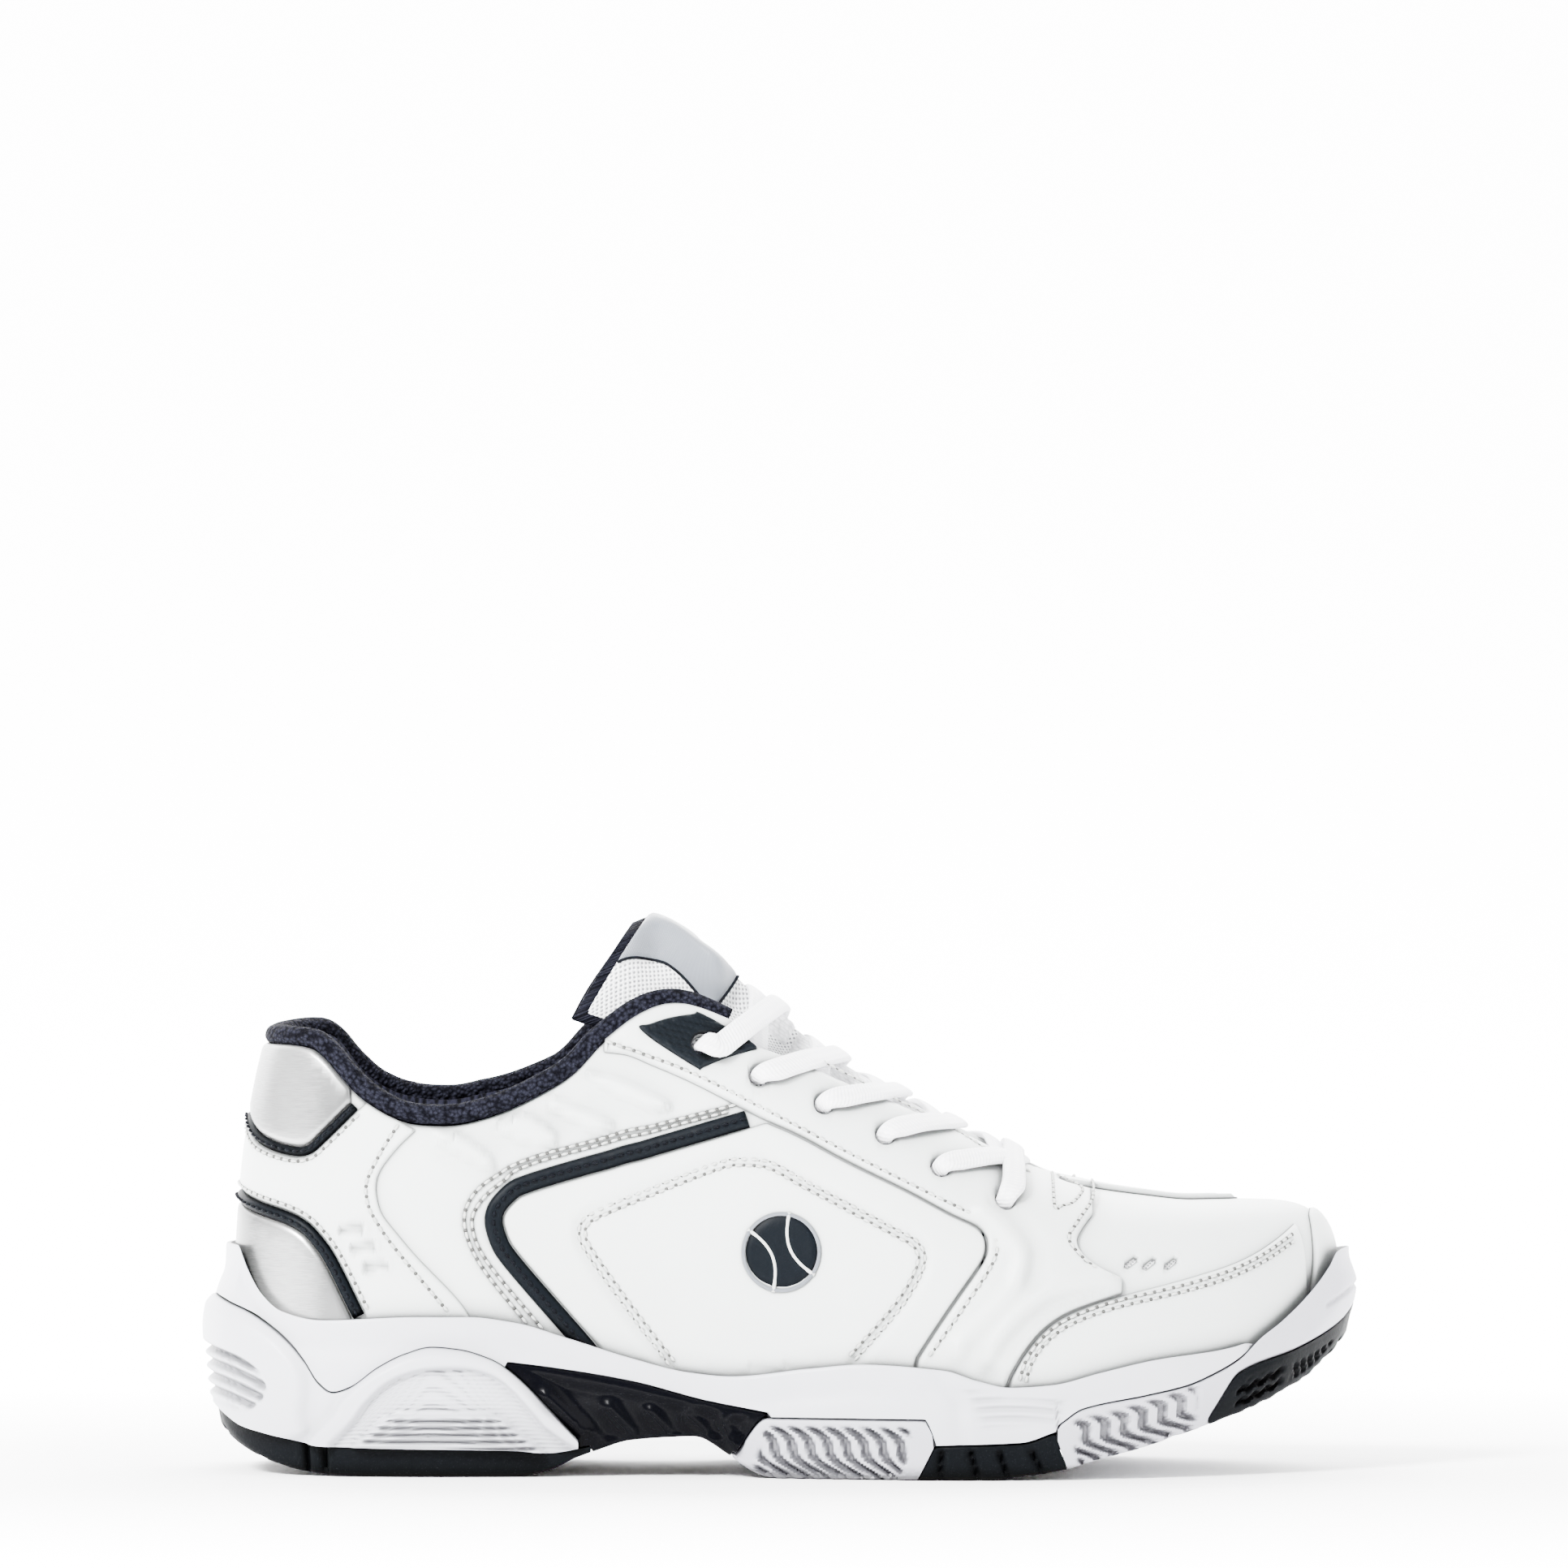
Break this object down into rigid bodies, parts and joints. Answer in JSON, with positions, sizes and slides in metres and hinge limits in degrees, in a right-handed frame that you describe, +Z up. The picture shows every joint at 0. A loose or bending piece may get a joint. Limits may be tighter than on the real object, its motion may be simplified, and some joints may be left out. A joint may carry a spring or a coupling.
{
  "type": "court shoe",
  "caption": "Low-cut lace-up court shoe for the right foot with a cupped midsole, segmented rubber outsole, midfoot shank, padded collar and tongue.",
  "frame": {"origin": "centre of the bounding box in plan, on the floor under the sole", "axes": "+X to the toe, +Y to the medial side, +Z up; right foot"},
  "size_m": [0.2964, 0.1058, 0.144],
  "materials": {
    "leather_white": "coated, satin",
    "vamp_leather": "coated, satin",
    "silver_film": "metallic brushed film",
    "dark_piping": "semi-gloss",
    "collar_knit": "knitted",
    "lining_mesh": "mesh",
    "tongue_mesh": "open mesh",
    "label_grey": "satin",
    "lace_white": "knitted",
    "midsole_eva": "matte foam",
    "rubber_white": "matte, pebbled",
    "rubber_dark": "matte",
    "shank_plastic": "gloss",
    "board_fibre": "fibre board",
    "foam": "open-cell foam",
    "stiffener": "thermoplastic sheet",
    "sock_fabric": "knitted",
    "eyelet_patch": "satin"
  },
  "bodies": {
    "rearfoot": {"outsole_heel": "rubber_dark", "midsole_heel_unit": "midsole_eva", "shank_plate": "shank_plastic", "outsole_midfoot_block": "rubber_white", "outsole_flex_pad": "rubber_dark", "midsole_cup": "midsole_eva", "lasting_board": "board_fibre", "sockliner": "sock_fabric", "quarter_lateral": "leather_white", "quarter_medial": "leather_white", "eyestay_facing": "leather_white", "saddle_panel_lateral": "leather_white", "saddle_panel_medial": "leather_white", "side_stripe_lateral": "dark_piping", "side_stripe_medial": "dark_piping", "eyelet_patch_lateral": "eyelet_patch", "eyelet_patch_medial": "eyelet_patch", "heel_piping_upper": "dark_piping", "heel_piping_lower": "dark_piping", "heel_tab": "silver_film", "heel_overlay": "leather_white", "heel_panel_lower": "silver_film", "collar_binding": "collar_knit", "collar_foam": "foam", "heel_counter": "stiffener", "inner_lining": "lining_mesh", "lace": "lace_white"},
    "forefoot": {"outsole_front_bumper": "rubber_white", "outsole_toe": "rubber_dark", "toe_overlay": "leather_white", "toe_puff": "stiffener", "vamp": "vamp_leather"},
    "tongue": {"tongue_padding": "tongue_mesh", "tongue_lining": "collar_knit", "tongue_label": "label_grey", "lace_keeper": "label_grey"}
  },
  "joints": [
    {"name": "toe_flex", "type": "hinge", "parent": "rearfoot", "child": "forefoot", "pos_m": [0.052, 0, 0.019], "axis": [0, -1, 0], "range_deg": [-4, 30], "stiffness_Nm_per_rad": 8, "deforming": ["midsole_cup", "outsole_flex_pad", "sockliner", "lasting_board", "inner_lining", "quarter_lateral", "quarter_medial", "eyestay_facing", "vamp", "lace", "tongue_padding"]},
    {"name": "tongue_tilt", "type": "hinge", "parent": "rearfoot", "child": "tongue", "pos_m": [-0.008, 0, 0.112], "axis": [0, 1, 0], "range_deg": [-8, 12], "stiffness_Nm_per_rad": 0.3, "deforming": ["tongue_padding", "tongue_lining"]}
  ]
}
